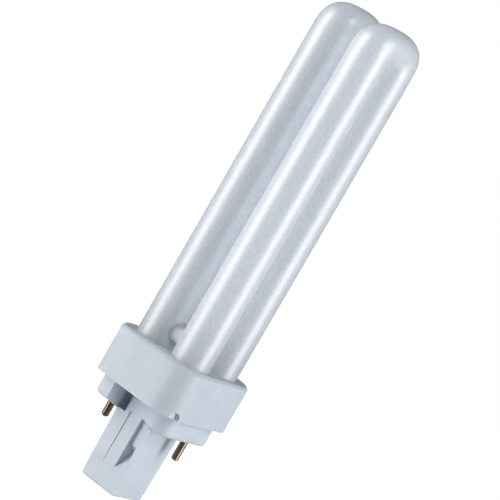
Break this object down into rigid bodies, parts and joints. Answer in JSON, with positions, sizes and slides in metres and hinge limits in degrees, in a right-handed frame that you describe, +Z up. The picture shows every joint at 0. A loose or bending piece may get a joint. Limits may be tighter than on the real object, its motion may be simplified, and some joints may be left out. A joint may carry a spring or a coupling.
{
  "type": "compact fluorescent lamp",
  "caption": "Plug-in compact fluorescent lamp: white U-shaped glass tubes side by side in a white plastic cap with a square post and brass contact pins.",
  "frame": {"origin": "centre of the pin circle, on the cap's seating face (the underside of the two pin bars)", "axes": "+Z up along the lamp towards the tube bends; X across the two U tubes and through the pin bars; Y along each U tube"},
  "size_m": [0.0314, 0.035, 0.153],
  "materials": {
    "coated_glass": "gloss glass with a white phosphor coat inside",
    "cap_plastic": "moulded white plastic with a soft sheen",
    "brass": "plain drawn brass",
    "cement": "matt white cement",
    "clear_glass": "clear glass",
    "tungsten": "wound wire with a pale emitter coat",
    "lead_wire": "drawn nickel-plated wire"
  },
  "bodies": {
    "root": {"cap_base": "cap_plastic", "collar": "cap_plastic", "contact_pin_left": "brass", "contact_pin_right": "brass", "discharge_tube": "coated_glass", "electrode_coil_left": "tungsten", "electrode_coil_right": "tungsten", "pin_lead_left": "lead_wire", "pin_lead_right": "lead_wire", "starter_bulb": "clear_glass", "starter_lead_left": "lead_wire", "starter_lead_right": "lead_wire", "tube_cement": "cement"}
  },
  "joints": []
}
